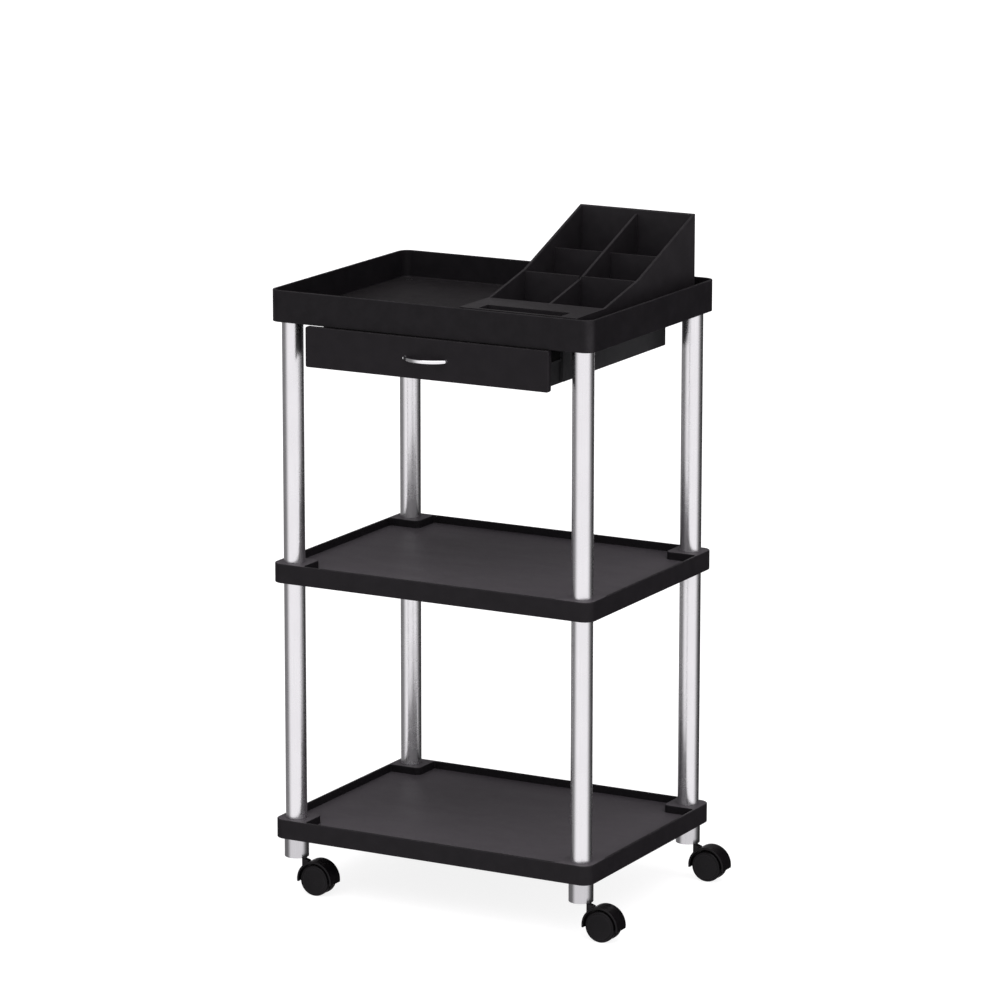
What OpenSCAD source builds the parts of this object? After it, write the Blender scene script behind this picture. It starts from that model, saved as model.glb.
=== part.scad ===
// Three-tier coffee cart: two open shelves and a top tray on four round metal legs,
// a shallow drawer on side runners under the tray, a lift-out condiment organiser in the
// tray and four twin-wheel swivel casters. Millimetres, +Z up. The drawer faces -Y.

/* [Overall] */
// Width of the tray and of both shelves
cart_w = 508; // [440:1:600]
// Depth of the tray and of both shelves
cart_d = 381; // [350:1:440]
// Height from the underside of one tier to the underside of the next
shelf_pitch = 374.7; // [250:0.1:420]
// Outer corner radius of every tier
corner_r = 16; // [8:0.5:20]
// Thickness of the rim walls
rim_t = 4; // [3:0.1:6]

/* [Shelves] */
// Height of a shelf from its underside to its rim
shelf_h = 28; // [22:0.5:40]
// Depth of the shelf floor below the rim
shelf_recess = 11; // [6:0.5:14]
// Thickness of the shelf floor
floor_t = 3; // [2:0.1:5]
// Width of the solid corner block that takes a leg
block_w = 52; // [46:0.5:64]
// Depth of the solid corner block
block_d = 50; // [46:0.5:64]
// Radius of the inner corner of the block
block_r = 8; // [3:0.5:12]

/* [Top tray] */
// Height of the tray from its underside to its rim
tray_h = 45; // [36:0.5:60]
// Thickness of the tray floor
tray_floor_t = 6; // [5:0.1:10]

/* [Legs] */
// Distance from the outer edge of a tier to a leg's axis
leg_inset = 24.5; // [22:0.1:27]
// Outer diameter of a leg tube
pole_d = 30.5; // [26:0.1:34]
// Wall of a leg tube
pole_wall = 1.5; // [1:0.1:2.5]
// Outer diameter of the sleeve under the bottom shelf
sleeve_d = 35; // [35:0.1:40]
// Length of the sleeve under the bottom shelf
sleeve_drop = 29.4; // [20:0.1:40]
// Depth of a plug inside a leg tube
plug_reach = 25; // [15:0.5:40]
// Wall of the hollow coupler through the middle shelf
coupler_wall = 4; // [2:0.5:8]
// Depth of the plug inside the sleeve
sleeve_seat = 7; // [4:0.5:8]
// Solid metal between that plug and the tip of the caster's stem
stem_roof = 2; // [1:0.5:4]
// Wall of the sleeve outside the caster's stem
stem_skin = 1.2; // [1:0.1:6]

/* [Casters] */
// Wheel diameter
wheel_d = 45.4; // [38:0.1:50]
// Width of one wheel
wheel_w = 10.4; // [9:0.1:18]
// Distance from the swivel axis to the axle
trail = 22.4; // [20:0.1:30]
// Gap between the wheel's tread and the hood
hood_gap = 2.7; // [0.5:0.1:5]
// Thickness of the hood over the wheels
hood_t = 2.6; // [1:0.1:4]
// Width of the hood across both wheels
hood_w = 27.4; // [20:0.1:32]
// Drop of the hood's two ends below the axle
hood_skirt = 3.7; // [0:0.1:6]
// Thickness of the web between the wheels
web_t = 7; // [5:0.5:10]
// Diameter of the axle
axle_d = 5; // [4:0.1:6]
// Diameter of the swivel stem
stem_d = 6; // [5:0.1:6.4]
// Width of the neck round the stem
neck_d = 8.4; // [8:0.1:11]
// Length by which the neck reaches from the stem's axis over the hood
neck_l = 5.4; // [3:0.1:8]
// Height of the neck's top above the hood's top
neck_rise = 0; // [0:0.1:4]
// Bare stem between the neck and the leg
stem_gap = 1.9; // [1:0.1:10]
// Height of the neck's lower end above the axle
neck_root = 8; // [5:0.5:12]
// Length of stem held in the neck
neck_grip = 10; // [6:0.5:12]
// Thickness of the boss round the axle
axle_boss_t = 4; // [2:0.1:6]
// Thickness of a wheel's closed outer face
wheel_cap_t = 3; // [2:0.1:5]
// Chamfer of a wheel's tread
tread_chamfer = 1.4; // [0.5:0.1:3]
// Depth of the groove between a wheel's tread and its face
wheel_groove = 0.5; // [0.2:0.1:1]
// Chamfer of the stem's tip
stem_tip = 1.2; // [0.5:0.1:2]
// Width of the groove near the stem's tip
stem_groove_w = 2; // [1:0.1:4]
// Depth of that groove
stem_groove_t = 0.7; // [0.3:0.1:1.2]

/* [Drawer] */
// Distance from a side of the tray to the end of the drawer front
panel_inset = 62.5; // [48:0.5:90]
// Height of the drawer front
panel_h = 57.5; // [50:0.5:70]
// Thickness of the drawer front
panel_t = 8; // [6:0.5:14]
// Corner radius of the drawer front
panel_r = 3; // [1:0.5:8]
// Gap between the drawer front and the tray above it
panel_gap = 1; // [0.5:0.1:4]
// How far the drawer stands open at rest, past flush with the tray
front_proud = 5.4; // [1:0.1:20]
// How far the drawer front runs past the drawer box at each end
drawer_inset = 7.5; // [6.5:0.1:20]
// Height of the drawer box
drawer_h = 34.4; // [20:0.1:38]
// Height of the drawer box above the lower edge of its front
drawer_lift = 4.6; // [3:0.1:10]
// Thickness of the drawer box's walls and floor
drawer_wall = 3; // [2:0.1:4]
// Width of the flange that rides in the runner
flange_w = 3; // [2:0.1:4]
// Thickness of the flange
flange_t = 3; // [2:0.1:5]

/* [Runners] */
// Distance from the back of the drawer front to a runner
runner_setback = 39; // [20:1:50]
// Distance from the back of the tray to a runner
runner_back_gap = 30.4; // [10:0.1:90]
// Thickness of a runner's side
runner_t = 5.6; // [5.2:0.1:8]
// Height of a runner
runner_h = 51.6; // [30:0.1:58]
// Width of the mounting flange over the drawer
runner_foot_w = 14; // [12:0.5:24]
// Thickness of the mounting flange
runner_foot_t = 4; // [3:0.1:6]
// Thickness of the stop at the runner's rear end
stop_t = 4; // [2:0.5:8]

/* [Handle] */
// Distance between the handle's two screws
handle_span = 64; // [48:1:96]
// How far the handle bows out between its ends
handle_bow = 15; // [10:0.5:20]
// Thickness of the handle's bar
handle_t = 4; // [3:0.1:6]
// Height of the handle's bar
handle_h = 5; // [4:0.1:8]
// Diameter of the handle's two feet
handle_foot_d = 6.4; // [6:0.1:12]
// Length of the handle's two feet
handle_foot_l = 4; // [3:0.1:6]
// Thickness of metal left in front of a screw's blind hole
handle_skin = 0.8; // [0.5:0.1:2]
// Distance of the handle below the middle of the drawer front
handle_drop = 0.5; // [0:0.5:10]

/* [Condiment organiser] */
// Width of the organiser
org_w = 182; // [150:1:230]
// Gap between the organiser and the right rim of the tray
org_side_gap = 21; // [2:1:40]
// Gap between the organiser and the front rim of the tray
org_front_gap = 1.5; // [0.5:0.1:10]
// Gap between the organiser and the back rim of the tray
org_back_gap = 14.5; // [1:0.5:30]
// Height of the front ledge
org_ledge_h = 38; // [30:0.5:50]
// Height of the side walls where their slope steepens
org_knee_h = 62; // [52:0.5:80]
// Height of the back wall
org_back_h = 130; // [100:0.5:170]
// Depth of the front ledge, from the organiser's front to the packet wells
org_ledge_l = 84; // [60:0.5:100]
// Length of the packet wells
packet_l = 98; // [60:0.5:110]
// Length of the front pair of cup wells
cup_front_l = 84; // [60:0.5:90]
// Thickness of the organiser's walls
org_wall = 4; // [2.5:0.1:5]
// Thickness of the organiser's floors
org_floor = 3; // [2:0.1:5]
// Height of the wall between packets and cups
low_wall_h = 60; // [30:0.5:61]
// Height of the wall between the two pairs of cup wells
high_wall_h = 80; // [60:0.5:94]
// Distance of the middle divider's edge below the side walls
divider_drop = 5; // [0:0.5:15]
// Width of the slot for stirring sticks
slot_w = 128; // [80:1:140]
// Length of that slot from front to back
slot_l = 28; // [15:0.5:40]
// Depth of that slot
slot_depth = 20; // [8:0.5:30]
// Distance from the organiser's left side to that slot
slot_inset = 27; // [6:0.5:40]
// Distance from the organiser's front to that slot
slot_front = 5; // [3:0.5:10]
// Diameter of the organiser's feet
org_foot_d = 12; // [8:0.5:20]
// Thickness of the organiser's feet
org_foot_t = 1.5; // [1:0.1:4]
// Distance from the organiser's edges to the middle of a foot
org_foot_inset = 16; // [10:0.5:30]

/* [Screws] */
// Diameter of the screws that hold the tray on its legs
tray_screw_d = 5; // [4:0.1:6]
// Length of the tray screws
tray_screw_l = 25; // [15:0.5:28]
// Head diameter of the tray screws
tray_head_d = 10; // [8:0.1:12]
// Diameter of the runner screws
runner_screw_d = 3.9; // [3:0.1:4.5]
// Head diameter of the runner screws
runner_head_d = 7; // [6:0.1:9]
// Head height of the runner screws
runner_head_h = 2.5; // [1.5:0.1:3]
// Depth of the runner screws in the tray floor
runner_screw_bite = 4; // [2:0.1:4.5]
// Distance from each end of a runner to its screw
runner_screw_inset = 30; // [10:1:80]
// Diameter of the handle screws
handle_screw_d = 3.8; // [3:0.1:4.5]
// Head diameter of the handle screws
handle_head_d = 7; // [6:0.1:9]
// Head height of the handle screws
handle_head_h = 2.2; // [1.5:0.1:3]

/* [Clearances] */
// Radial clearance of plugs, pins and screws that stay put
press_fit = 0.05; // [0.02:0.01:0.1]
// Radial clearance of the axle in a wheel and of the stem in a leg
run_fit = 0.08; // [0.02:0.01:0.1]
// Clearance round the drawer's flange in its runner
slide_fit = 0.3; // [0.2:0.05:0.6]
// Clearance between a wheel and the web beside it
wheel_gap = 0.4; // [0.2:0.05:1]
// Clearance under the organiser's feet
rest_gap = 0.3; // [0.1:0.05:0.5]
// Clearance round a screw in a through hole
screw_gap = 0.2; // [0.1:0.05:0.4]
// Free depth past the tip of a screw or stem in a blind hole
tip_gap = 0.4; // [0.2:0.1:2]

/* [Hidden] */
$fn = 64;
corners = ["fl", "fr", "rl", "rr"];
corner_x = [-1, 1, -1, 1];
corner_y = [-1, -1, 1, 1];
legs = [0, 1, 2, 3];
over = 1;

leg_x = cart_w / 2 - leg_inset;
leg_y = cart_d / 2 - leg_inset;
plug_d = pole_d - 2 * pole_wall - 2 * press_fit;
bore_d = plug_d + 2 * press_fit;

axle_z = wheel_d / 2;
hood_r = axle_z + hood_gap + hood_t;
neck_reach = max(neck_l, trail - hood_r + 3 * hood_t - neck_d / 2);
neck_top = axle_z + hood_r + neck_rise;
neck_bottom = axle_z + neck_root;
wheel_face = web_t / 2 + wheel_gap;
caster_half = wheel_face + wheel_w;
sleeve_z = neck_top + stem_gap;
bottom_z = sleeve_z + sleeve_drop;
middle_z = bottom_z + shelf_pitch;
tray_z = middle_z + shelf_pitch;
stem_reach = sleeve_drop - sleeve_seat - stem_roof - tip_gap;
stem_top = sleeve_z + stem_reach;
stem_x = sleeve_d / 2 - stem_skin - run_fit - stem_d / 2;

panel_w = cart_w - 2 * panel_inset;
drawer_w = panel_w - 2 * drawer_inset;
panel_y = -cart_d / 2 - front_proud;
panel_back = panel_y + panel_t;
panel_top = tray_z - panel_gap;
panel_bottom = panel_top - panel_h;
drawer_z = panel_bottom + drawer_lift;
drawer_top = drawer_z + drawer_h;
runner_y = panel_back + runner_setback;
runner_l = cart_d / 2 - runner_back_gap - runner_y;
runner_inner = drawer_w / 2 + slide_fit;
groove_end = runner_y + runner_l - stop_t;
drawer_end = groove_end - front_proud - slide_fit;
drawer_l = drawer_end - panel_back;
runner_screw_x = runner_inner - runner_foot_w / 2;
foot_underside = tray_z - runner_foot_t;

handle_z = (panel_top + panel_bottom) / 2 - handle_drop;
handle_end = handle_foot_l / 2;
handle_r = (handle_span * handle_span / 4 + handle_bow * handle_bow) / (2 * handle_bow);
handle_angle = asin(handle_span / 2 / handle_r);
handle_out = handle_end + handle_bow + handle_t / 2;
handle_screw_l = drawer_wall + panel_t + handle_foot_l - handle_skin - tip_gap;
drill_l = 3 * (panel_t + drawer_wall);

org_x = cart_w / 2 - rim_t - org_side_gap - org_w;
org_y = -cart_d / 2 + rim_t + org_front_gap;
org_z = tray_z + tray_floor_t + rest_gap + org_foot_t;
org_l = cart_d - 2 * rim_t - org_front_gap - org_back_gap;
org_knee = org_ledge_l + packet_l + org_wall;
cup_back_l = org_l - org_knee - cup_front_l - 2 * org_wall;
well_w = (org_w - 3 * org_wall) / 2;

x_high = max(cart_w / 2, leg_x + stem_x + trail + hood_r);
x_low = min(-cart_w / 2, stem_x + trail - leg_x - hood_r);
y_high = max(cart_d / 2, leg_y + caster_half);
y_low = min(panel_y - handle_out, -leg_y - caster_half);

// Puts the origin on the floor under the middle of the whole cart.
module cart() {
    translate([-(x_high + x_low) / 2, -(y_high + y_low) / 2, 0]) children();
}

// Places a child on the floor under the swivel axis of leg i.
module at_leg(i) {
    translate([corner_x[i] * leg_x, corner_y[i] * leg_y, 0]) children();
}

// Every stem stands to the right of its leg's axis, inside the sleeve's wall.
module at_stem(i) {
    at_leg(i) translate([stem_x, 0, 0]) children();
}

// A flat slab with rounded vertical corners, centred in plan.
module slab(w, d, h, r) {
    linear_extrude(h) {
        square([w - 2 * r, d], center = true);
        square([w, d - 2 * r], center = true);
        for (sx = [-1, 1], sy = [-1, 1]) {
            translate([sx * (w / 2 - r), sy * (d / 2 - r)]) circle(r);
        }
    }
}

// The space inside the rim between two heights.
module rim_space(z_from, z_to) {
    translate([0, 0, z_from])
        slab(cart_w - 2 * rim_t, cart_d - 2 * rim_t, z_to - z_from, max(corner_r - rim_t, 1));
}

// The four corner blocks of a shelf; they run out past the rim so that only
// their inner corners are rounded.
module corner_blocks() {
    for (i = legs) {
        x = corner_x[i] * (cart_w / 2 - (block_w - block_r) / 2);
        y = corner_y[i] * (cart_d / 2 - (block_d - block_r) / 2);
        translate([x, y, -2 * over])
            slab(block_w + block_r, block_d + block_r, shelf_h + 4 * over, block_r);
    }
}

// A shelf: rim, sunk floor, corner blocks and a bore for the plug at each leg.
module shelf() {
    floor_top = shelf_h - shelf_recess;
    difference() {
        slab(cart_w, cart_d, shelf_h, corner_r);
        difference() {
            rim_space(floor_top, shelf_h + over);
            corner_blocks();
        }
        difference() {
            rim_space(-over, floor_top - floor_t);
            corner_blocks();
        }
        for (i = legs) {
            at_leg(i) translate([0, 0, -over]) cylinder(d = bore_d, h = shelf_h + 2 * over);
        }
    }
}

// A tube between two heights on leg i.
module tube(i, outer, inner, z_from, z_to) {
    at_leg(i) translate([0, 0, z_from]) difference() {
        cylinder(d = outer, h = z_to - z_from);
        translate([0, 0, -over]) cylinder(d = inner, h = z_to - z_from + 2 * over);
    }
}

module top_tray() {
    hole_d = tray_screw_d + 2 * screw_gap;
    sink = (tray_head_d - tray_screw_d) / 2;
    mouth_d = tray_head_d + 2 * screw_gap + 2 * over;
    cart() color("#242426") translate([0, 0, tray_z]) difference() {
        slab(cart_w, cart_d, tray_h, corner_r);
        rim_space(tray_floor_t, tray_h + over);
        for (i = legs) {
            at_leg(i) translate([0, 0, -over]) cylinder(d = hole_d, h = tray_floor_t + 2 * over);
            at_leg(i) translate([0, 0, tray_floor_t - sink])
                cylinder(d1 = hole_d, d2 = mouth_d, h = sink + over);
        }
        at_runner_screws() translate([0, 0, -over])
            cylinder(d = runner_screw_d + 2 * press_fit, h = runner_screw_bite + tip_gap + over);
    }
}

module middle_shelf() {
    cart() color("#2b2b2d") translate([0, 0, middle_z]) shelf();
}

module bottom_shelf() {
    cart() color("#2b2b2d") translate([0, 0, bottom_z]) shelf();
}

module upper_pole(i) {
    cart() color("silver") tube(i, pole_d, pole_d - 2 * pole_wall, middle_z + shelf_h, tray_z);
}

module lower_pole(i) {
    cart() color("silver")
        tube(i, pole_d, pole_d - 2 * pole_wall, bottom_z + shelf_h, middle_z);
}

// Sleeve with a seat for its plug above and, near its right side, a bore for the stem.
module leg_sleeve(i) {
    cart() color("silver") difference() {
        at_leg(i) translate([0, 0, sleeve_z]) cylinder(d = sleeve_d, h = sleeve_drop);
        at_leg(i) translate([0, 0, bottom_z - sleeve_seat]) cylinder(d = bore_d, h = sleeve_seat + over);
        at_stem(i) translate([0, 0, sleeve_z - over])
            cylinder(d = stem_d + 2 * run_fit, h = stem_reach + tip_gap + over);
    }
}

// Plug in the top of an upper tube; the tray screw bites in it.
module top_plug(i) {
    cart() color("#303030")
        tube(i, plug_d, tray_screw_d + 2 * press_fit, tray_z - plug_reach, tray_z);
}

// Hollow plug that joins a lower tube, the middle shelf and an upper tube.
module coupler(i) {
    cart() color("#303030")
        tube(i, plug_d, plug_d - 2 * coupler_wall, middle_z - plug_reach, middle_z + shelf_h + plug_reach);
}

// Hollow plug that joins the sleeve, the bottom shelf and a lower tube.
module sleeve_plug(i) {
    cart() color("#303030")
        tube(i, plug_d, plug_d - 2 * coupler_wall, bottom_z - sleeve_seat + tip_gap,
            bottom_z + shelf_h + plug_reach);
}

// Swivel stem with a turned groove and a chamfered tip.
module caster_stem(i) {
    foot = neck_top - neck_grip;
    groove_z = stem_top - stem_tip - 2 * stem_groove_w;
    cart() color("#8d8f92") at_stem(i) difference() {
        union() {
            translate([0, 0, foot]) cylinder(d = stem_d, h = stem_top - stem_tip - foot);
            translate([0, 0, stem_top - stem_tip])
                cylinder(d1 = stem_d, d2 = stem_d - 2 * stem_tip, h = stem_tip);
        }
        translate([0, 0, groove_z]) difference() {
            cylinder(d = stem_d + over, h = stem_groove_w);
            translate([0, 0, -over])
                cylinder(d = stem_d - 2 * stem_groove_t, h = stem_groove_w + 2 * over);
        }
    }
}

// A round plate standing on edge, round the axle of a caster.
module axle_disc(r, w) {
    translate([trail, 0, axle_z]) rotate([90, 0, 0]) cylinder(r = r, h = w, center = true);
}

// What is kept of a caster's hood and web: all that is above the level of its ends.
module above_skirt() {
    difference() {
        children();
        translate([trail, 0, axle_z - hood_r - hood_skirt])
            cube([3 * hood_r, 2 * hood_w, 2 * hood_r], center = true);
    }
}

// Hood over both wheels, with the web between them and the neck round the stem.
module caster_hood(i) {
    cart() color("#1d1d1f") at_stem(i) difference() {
        union() {
            above_skirt() difference() {
                union() {
                    axle_disc(hood_r, hood_w);
                    hull() {
                        translate([0, 0, neck_bottom]) cylinder(d = neck_d, h = neck_top - neck_bottom);
                        translate([neck_reach, 0, neck_bottom])
                            cylinder(d = neck_d, h = neck_top - neck_bottom);
                    }
                }
                axle_disc(hood_r - hood_t, hood_w + over);
            }
            above_skirt() axle_disc(hood_r - hood_t / 2, web_t);
            axle_disc(axle_d / 2 + axle_boss_t, web_t);
        }
        axle_disc(axle_d / 2 + press_fit, web_t + 2 * over);
        translate([0, 0, neck_top - neck_grip]) cylinder(d = stem_d + 2 * press_fit, h = neck_grip + over);
    }
}

module caster_axle(i) {
    length = 2 * (caster_half - wheel_cap_t - wheel_gap);
    cart() color("#8d8f92") at_stem(i) axle_disc(axle_d / 2, length);
}

// One wheel, turned round its own axle; z runs from the inner to the outer face.
module wheel_shape() {
    r = wheel_d / 2;
    bore = axle_d / 2 + run_fit;
    face_r = r - 3 * tread_chamfer;
    rotate_extrude() polygon([
        [bore, 0],
        [r - tread_chamfer, 0],
        [r, tread_chamfer],
        [r, wheel_w - 2 * tread_chamfer],
        [r - tread_chamfer, wheel_w - wheel_groove],
        [face_r + wheel_groove, wheel_w - wheel_groove],
        [face_r, wheel_w],
        [0, wheel_w],
        [0, wheel_w - wheel_cap_t],
        [bore, wheel_w - wheel_cap_t]
    ]);
}

module wheel_front(i) {
    cart() color("#19191b") at_stem(i) translate([trail, -wheel_face, axle_z])
        rotate([90, 0, 0]) wheel_shape();
}

module wheel_rear(i) {
    cart() color("#19191b") at_stem(i) translate([trail, wheel_face, axle_z])
        rotate([-90, 0, 0]) wheel_shape();
}

// Right-hand runner: a side plate with the groove for the drawer's flange, a closed
// rear end as stop, and a flange along the top that is screwed under the tray.
module runner() {
    groove_z = drawer_top - flange_t - slide_fit;
    difference() {
        union() {
            translate([runner_inner, runner_y, tray_z - runner_h])
                cube([runner_t, runner_l, runner_h]);
            translate([runner_inner - runner_foot_w, runner_y, foot_underside])
                cube([runner_foot_w + runner_t / 2, runner_l, runner_foot_t]);
        }
        translate([runner_inner - over, runner_y - over, groove_z])
            cube([flange_w + over, groove_end - runner_y + over, flange_t + 2 * slide_fit]);
        for (y = [runner_y + runner_screw_inset, runner_y + runner_l - runner_screw_inset]) {
            translate([runner_screw_x, y, foot_underside - over])
                cylinder(d = runner_screw_d + 2 * screw_gap, h = runner_foot_t + 2 * over);
        }
    }
}

// Places a child at each of the four runner screws, seen from above.
module at_runner_screws() {
    for (sx = [-1, 1], y = [runner_screw_inset, runner_l - runner_screw_inset]) {
        translate([sx * runner_screw_x, runner_y + y, 0]) children();
    }
}

module runner_right() {
    cart() color("#2a2a2c") runner();
}

module runner_left() {
    cart() color("#2a2a2c") mirror([1, 0, 0]) runner();
}

// Floor, inner front and back of the drawer, between its two sides.
module drawer_box() {
    inner_w = drawer_w - 2 * drawer_wall;
    cart() color("#2a2a2c") difference() {
        translate([-inner_w / 2, panel_back, drawer_z]) cube([inner_w, drawer_l, drawer_h]);
        translate([-inner_w / 2 - over, panel_back + drawer_wall, drawer_z + drawer_wall])
            cube([inner_w + 2 * over, drawer_l - 2 * drawer_wall, drawer_h]);
        at_handle_screws() cylinder(d = handle_screw_d + 2 * screw_gap, h = drill_l, center = true);
    }
}

// Right-hand side of the drawer, with the flange that rides in the runner.
module drawer_side() {
    translate([drawer_w / 2 - drawer_wall, panel_back, drawer_z])
        cube([drawer_wall, drawer_l, drawer_h]);
    translate([drawer_w / 2 - drawer_wall, panel_back, drawer_top - flange_t])
        cube([drawer_wall + flange_w, drawer_l, flange_t]);
}

module drawer_side_right() {
    cart() color("#2a2a2c") drawer_side();
}

module drawer_side_left() {
    cart() color("#2a2a2c") mirror([1, 0, 0]) drawer_side();
}

// Places a child on the drawer front's face at each handle screw, with z pointing back.
module at_handle_screws() {
    for (sx = [-1, 1]) {
        translate([sx * handle_span / 2, panel_y, handle_z]) rotate([-90, 0, 0]) children();
    }
}

module drawer_front() {
    cart() color("#303032") difference() {
        translate([0, panel_y + panel_t, (panel_top + panel_bottom) / 2]) rotate([90, 0, 0])
            slab(panel_w, panel_h, panel_t, panel_r);
        at_handle_screws() cylinder(d = handle_screw_d + 2 * screw_gap, h = drill_l, center = true);
    }
}

// Bow pull: an arc of flat bar on two round feet.
module drawer_handle() {
    bow_y = panel_y - handle_end - handle_bow + handle_r;
    cart() color("gainsboro") difference() {
        union() {
            translate([0, bow_y, handle_z - handle_h / 2]) rotate([0, 0, -90 - handle_angle])
                rotate_extrude(angle = 2 * handle_angle)
                    translate([handle_r - handle_t / 2, 0]) square([handle_t, handle_h]);
            at_handle_screws() translate([0, 0, -handle_foot_l])
                cylinder(d = handle_foot_d, h = handle_foot_l);
        }
        at_handle_screws() translate([0, 0, handle_skin - handle_foot_l])
            cylinder(d = handle_screw_d + 2 * press_fit, h = handle_foot_l);
    }
}

// Outline of the organiser seen from its side: y to the right, height upwards.
module organiser_outline(drop) {
    polygon([
        [0, 0],
        [0, org_ledge_h - drop],
        [org_ledge_l, org_ledge_h - drop],
        [org_knee, org_knee_h - drop],
        [org_l, org_back_h - drop],
        [org_l, 0]
    ]);
}

// Extrudes an outline drawn in y and z across the organiser.
module across(x_from, x_to) {
    translate([x_from, 0, 0]) rotate([90, 0, 90]) linear_extrude(x_to - x_from) children();
}

// One column of wells: a packet well and two cup wells, with the walls between them
// cut down to their own heights.
module well_column(x) {
    tall = org_back_h + over;
    cup_front_y = org_knee;
    cup_back_y = cup_front_y + cup_front_l + org_wall;
    translate([x, org_ledge_l, org_floor]) cube([well_w, packet_l, tall]);
    translate([x, cup_front_y, org_floor]) cube([well_w, cup_front_l, tall]);
    translate([x, cup_back_y, org_floor]) cube([well_w, cup_back_l, tall]);
    translate([x, org_knee - 2 * org_wall, low_wall_h]) cube([well_w, 3 * org_wall, tall]);
    translate([x, cup_back_y - 2 * org_wall, high_wall_h]) cube([well_w, 3 * org_wall, tall]);
}

module organiser() {
    cart() color("#323234") translate([org_x, org_y, org_z]) difference() {
        across(0, org_w) organiser_outline(0);
        for (x = [org_wall, 2 * org_wall + well_w]) {
            well_column(x);
        }
        translate([slot_inset, slot_front, org_ledge_h - slot_depth])
            cube([slot_w, slot_l, slot_depth + over]);
        translate([org_wall + well_w - over, 0, 0]) difference() {
            translate([0, org_ledge_l, org_ledge_h - divider_drop])
                cube([org_wall + 2 * over, org_l - org_ledge_l - org_wall, org_back_h]);
            across(-over, org_wall + 4 * over) organiser_outline(divider_drop);
        }
        translate([org_wall, slot_front + slot_l + org_wall, -over])
            cube([org_w - 2 * org_wall, org_ledge_l - slot_front - slot_l - 2 * org_wall,
                org_ledge_h - org_floor + over]);
    }
}

module organiser_feet() {
    cart() color("#111111") translate([org_x, org_y, org_z - org_foot_t])
        for (x = [org_foot_inset, org_w - org_foot_inset], y = [org_foot_inset, org_l - org_foot_inset]) {
            translate([x, y, 0]) cylinder(d = org_foot_d, h = org_foot_t);
        }
}

// Countersunk screws, flush with the tray floor.
module tray_screws() {
    sink = (tray_head_d - tray_screw_d) / 2;
    cart() color("silver") translate([0, 0, tray_z + tray_floor_t]) for (i = legs) {
        at_leg(i) translate([0, 0, -tray_screw_l]) cylinder(d = tray_screw_d, h = tray_screw_l);
        at_leg(i) translate([0, 0, -sink]) cylinder(d1 = tray_screw_d, d2 = tray_head_d, h = sink);
    }
}

module runner_screws() {
    cart() color("silver") translate([0, 0, foot_underside]) at_runner_screws() {
        cylinder(d = runner_screw_d, h = runner_foot_t + runner_screw_bite);
        translate([0, 0, -runner_head_h]) cylinder(d = runner_head_d, h = runner_head_h);
    }
}

module handle_screws() {
    cart() color("silver") at_handle_screws() translate([0, 0, panel_t + drawer_wall]) {
        translate([0, 0, -handle_screw_l]) cylinder(d = handle_screw_d, h = handle_screw_l);
        cylinder(d = handle_head_d, h = handle_head_h);
    }
}

top_tray();
middle_shelf();
bottom_shelf();
for (i = legs) {
    upper_pole(i);
    lower_pole(i);
    leg_sleeve(i);
    top_plug(i);
    coupler(i);
    sleeve_plug(i);
    caster_stem(i);
    caster_hood(i);
    caster_axle(i);
    wheel_front(i);
    wheel_rear(i);
}
runner_left();
runner_right();
drawer_box();
drawer_side_left();
drawer_side_right();
drawer_front();
drawer_handle();
organiser();
organiser_feet();
tray_screws();
runner_screws();
handle_screws();
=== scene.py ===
# %% [markdown]
# A coffee cart has three black moulded tiers on satin silver tubes, a slim drawer with a bright
# bow handle, twin-wheel casters and a loose condiment organiser standing in its top tray.
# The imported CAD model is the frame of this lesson: it has the true sizes and the moving bodies.
# Each cell below draws one piece over it as a surface, and gives it the finish of the real one.

# %% Load the frame
import bmesh
import bpy
import numpy as np
from mathutils import Matrix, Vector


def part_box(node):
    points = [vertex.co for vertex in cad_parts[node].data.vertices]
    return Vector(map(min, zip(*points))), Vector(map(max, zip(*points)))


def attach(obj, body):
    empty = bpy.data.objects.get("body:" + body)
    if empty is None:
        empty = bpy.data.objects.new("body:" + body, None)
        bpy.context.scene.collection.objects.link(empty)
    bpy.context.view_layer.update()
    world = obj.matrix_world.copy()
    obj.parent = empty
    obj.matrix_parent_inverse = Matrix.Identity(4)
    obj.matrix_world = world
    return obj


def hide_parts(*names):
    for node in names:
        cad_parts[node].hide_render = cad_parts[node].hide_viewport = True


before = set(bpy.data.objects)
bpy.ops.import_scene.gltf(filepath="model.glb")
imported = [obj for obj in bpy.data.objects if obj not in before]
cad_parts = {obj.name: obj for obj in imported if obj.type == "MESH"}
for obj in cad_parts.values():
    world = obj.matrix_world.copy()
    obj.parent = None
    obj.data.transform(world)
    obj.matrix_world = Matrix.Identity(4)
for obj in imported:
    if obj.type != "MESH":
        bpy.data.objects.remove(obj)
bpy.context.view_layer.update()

# %% [markdown]
# The cart is measured in millimetres from the middle of its tiers, with z up from the floor.
# The frame keeps metres from another origin, so one shift takes every point there.
# The sizes are read from the boxes of the CAD nodes wherever a box can give them.

# %% Sizes of the cart
tray_low, tray_high = (np.array(corner) * 1000 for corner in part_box("top_tray"))
MIDDLE = np.array([(tray_low[0] + tray_high[0]) / 2, (tray_low[1] + tray_high[1]) / 2, 0.0])


def node_box(node):
    """Lowest and highest corner of a CAD node, in millimetres from the cart's middle."""
    return tuple(np.array(corner) * 1000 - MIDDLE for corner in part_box(node))


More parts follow.
